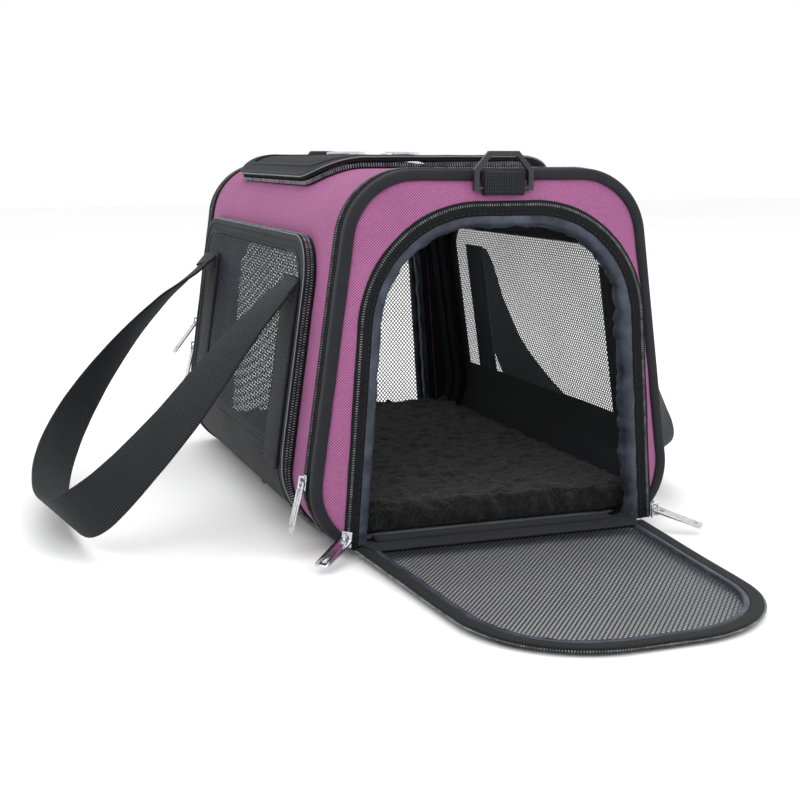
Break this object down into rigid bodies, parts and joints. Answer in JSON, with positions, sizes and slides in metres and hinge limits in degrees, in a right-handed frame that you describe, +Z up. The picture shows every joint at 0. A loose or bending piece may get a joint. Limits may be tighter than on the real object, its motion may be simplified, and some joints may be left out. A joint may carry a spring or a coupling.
{
  "type": "pet transport carrier",
  "caption": "Soft-sided fabric pet carrier: arched zip doors at the ends, zipped mesh flap on top, mesh sides, fleece floor pad, two webbing handles and strap rings.",
  "frame": {"origin": "centre of the base, on the ground", "axes": "+Z up, +Y from the open front door towards the rear door, +X towards the right side"},
  "size_m": [0.5219, 0.6967, 0.277],
  "materials": {
    "purple_oxford": "plain-woven purple polyester Oxford, matte",
    "black_base_cloth": "black coated polyester",
    "charcoal_binding": "charcoal twill binding tape",
    "zip_tape": "black woven zipper tape",
    "zip_coil": "nylon coil, satin",
    "satin_facing": "grey-navy satin lining",
    "black_mesh": "black polyester mesh",
    "black_webbing": "ribbed black webbing",
    "black_fleece": "curly black fleece",
    "grey_board": "polyethylene board",
    "spring_steel": "bare spring steel",
    "chrome_pull": "polished chrome plate",
    "ring_plastic": "black moulded acetal"
  },
  "bodies": {
    "carrier": {"body_shell": "purple_oxford", "base_panel": "black_base_cloth", "base_board": "grey_board", "fleece_pad": "black_fleece", "front_panel": "purple_oxford", "rear_panel": "purple_oxford", "front_binding": "charcoal_binding", "rear_binding": "charcoal_binding", "frame_strips": "spring_steel", "front_rim_zipper": "zip_tape", "rear_rim_zipper": "zip_tape", "front_arch_tape": "zip_tape", "rear_arch_tape": "zip_tape", "front_arch_chain": "zip_coil", "rear_arch_chain": "zip_coil", "front_facing": "satin_facing", "rear_facing": "satin_facing", "door_sills": "black_webbing", "left_gusset": "zip_tape", "left_mesh": "black_mesh", "left_edge": "charcoal_binding", "left_chain": "zip_coil", "right_gusset": "zip_tape", "right_mesh": "black_mesh", "right_edge": "charcoal_binding", "right_chain": "zip_coil", "top_gusset": "zip_tape", "top_chain": "zip_coil", "handle_anchors": "black_webbing", "ring_tabs": "black_webbing"},
    "front_door": {"front_door_mesh": "black_mesh", "front_door_border": "charcoal_binding", "front_door_chain": "zip_coil"},
    "rear_door": {"rear_door_mesh": "black_mesh", "rear_door_border": "charcoal_binding", "rear_door_chain": "zip_coil"},
    "top_flap": {"top_flap_mesh": "black_mesh", "top_flap_edge": "charcoal_binding", "top_flap_gusset": "zip_tape"},
    "left_handle": {"left_handle": "black_webbing"},
    "right_handle": {"right_handle": "black_webbing"},
    "front_d_ring": {"front_d_ring": "ring_plastic"},
    "rear_d_ring": {"rear_d_ring": "ring_plastic"},
    "front_left_slider": {"front_left_slider": "chrome_pull"},
    "front_left_pull": {"front_left_pull": "chrome_pull"},
    "front_right_slider": {"front_right_slider": "chrome_pull"},
    "front_right_pull": {"front_right_pull": "chrome_pull"},
    "rear_door_slider": {"rear_door_slider": "chrome_pull"},
    "rear_door_pull": {"rear_door_pull": "chrome_pull"},
    "front_rim_slider": {"front_rim_slider": "chrome_pull"},
    "front_rim_pull": {"front_rim_pull": "chrome_pull"},
    "rear_rim_upper_slider": {"rear_rim_upper_slider": "chrome_pull"},
    "rear_rim_upper_pull": {"rear_rim_upper_pull": "chrome_pull"},
    "rear_rim_lower_slider": {"rear_rim_lower_slider": "chrome_pull"},
    "rear_rim_lower_pull": {"rear_rim_lower_pull": "chrome_pull"},
    "top_left_slider": {"top_left_slider": "chrome_pull"},
    "top_left_pull": {"top_left_pull": "chrome_pull"},
    "top_right_slider": {"top_right_slider": "chrome_pull"},
    "top_right_pull": {"top_right_pull": "chrome_pull"}
  },
  "joints": [
    {"name": "front_door_hinge", "type": "hinge", "parent": "carrier", "child": "front_door", "pos_m": [0, -0.2175, 0.008], "axis": [-1, 0, 0], "range_deg": [0, 90.85]},
    {"name": "rear_door_hinge", "type": "hinge", "parent": "carrier", "child": "rear_door", "pos_m": [0, 0.2175, 0.008], "axis": [-1, 0, 0], "range_deg": [0, 90.85]},
    {"name": "top_flap_hinge", "type": "hinge", "parent": "carrier", "child": "top_flap", "pos_m": [0.097, 0, 0.25689], "axis": [0, 1, 0], "range_deg": [0, 92]},
    {"name": "left_handle_swing", "type": "hinge", "parent": "carrier", "child": "left_handle", "pos_m": [-0.12898, 0, 0.186], "axis": [0, 1, 0], "range_deg": [0, 135]},
    {"name": "right_handle_swing", "type": "hinge", "parent": "carrier", "child": "right_handle", "pos_m": [0.12898, 0, 0.186], "axis": [0, -1, 0], "range_deg": [0, 150]},
    {"name": "front_ring_swing", "type": "hinge", "parent": "carrier", "child": "front_d_ring", "pos_m": [0, -0.21615, 0.252], "axis": [1, 0, 0], "range_deg": [0, 135]},
    {"name": "rear_ring_swing", "type": "hinge", "parent": "carrier", "child": "rear_d_ring", "pos_m": [0, 0.21615, 0.252], "axis": [-1, 0, 0], "range_deg": [0, 135]},
    {"name": "front_left_slide", "type": "slide", "parent": "carrier", "child": "front_left_slider", "axis": [0.0734, 0, 0.9973], "range_m": [0, 0.12]},
    {"name": "front_left_pull_swing", "type": "hinge", "parent": "front_left_slider", "child": "front_left_pull", "pos_m": [-0.11678, -0.22158, 0.01515], "axis": [-0.7052, 0.7071, 0.0519], "range_deg": [0, 100]},
    {"name": "front_right_slide", "type": "slide", "parent": "carrier", "child": "front_right_slider", "axis": [-0.0734, 0, 0.9973], "range_m": [0, 0.12]},
    {"name": "front_right_pull_swing", "type": "hinge", "parent": "front_right_slider", "child": "front_right_pull", "pos_m": [0.12477, -0.22158, 0.01515], "axis": [-0.7052, -0.7071, -0.0519], "range_deg": [0, 100]},
    {"name": "rear_door_slide", "type": "slide", "parent": "carrier", "child": "rear_door_slider", "axis": [-0.0734, 0, 0.9973], "range_m": [0, 0.12]},
    {"name": "rear_door_pull_swing", "type": "hinge", "parent": "rear_door_slider", "child": "rear_door_pull", "pos_m": [0.12477, 0.22158, 0.01515], "axis": [0.7052, -0.7071, 0.0519], "range_deg": [0, 100]},
    {"name": "front_rim_slide", "type": "slide", "parent": "carrier", "child": "front_rim_slider", "axis": [0.1401, 0, 0.9901], "range_m": [0, 0.13]},
    {"name": "front_rim_pull_swing", "type": "hinge", "parent": "front_rim_slider", "child": "front_rim_pull", "pos_m": [-0.14072, -0.198, 0.05239], "axis": [0, 1, 0], "range_deg": [0, 166]},
    {"name": "rear_rim_upper_slide", "type": "slide", "parent": "carrier", "child": "rear_rim_upper_slider", "axis": [0.1401, 0, 0.9901], "range_m": [0, 0.07]},
    {"name": "rear_rim_upper_pull_swing", "type": "hinge", "parent": "rear_rim_upper_slider", "child": "rear_rim_upper_pull", "pos_m": [-0.13152, 0.198, 0.11739], "axis": [0, 1, 0], "range_deg": [0, 142]},
    {"name": "rear_rim_lower_slide", "type": "slide", "parent": "carrier", "child": "rear_rim_lower_slider", "axis": [-0.1401, 0, -0.9901], "range_m": [0, 0.035]},
    {"name": "rear_rim_lower_pull_swing", "type": "hinge", "parent": "rear_rim_lower_slider", "child": "rear_rim_lower_pull", "pos_m": [-0.13477, 0.198, 0.09439], "axis": [0, 1, 0], "range_deg": [0, 50]},
    {"name": "top_left_slide", "type": "slide", "parent": "carrier", "child": "top_left_slider", "axis": [-1, 0, 0], "range_m": [0, 0.06]},
    {"name": "top_left_pull_swing", "type": "hinge", "parent": "top_left_slider", "child": "top_left_pull", "pos_m": [0.028, 0.1706, 0.2711], "axis": [0, 0, -1], "range_deg": [0, 150]},
    {"name": "top_right_slide", "type": "slide", "parent": "carrier", "child": "top_right_slider", "axis": [1, 0, 0], "range_m": [0, 0.006]},
    {"name": "top_right_pull_swing", "type": "hinge", "parent": "top_right_slider", "child": "top_right_pull", "pos_m": [0.05, 0.1706, 0.2711], "axis": [0, 0, 1], "range_deg": [0, 150]}
  ]
}
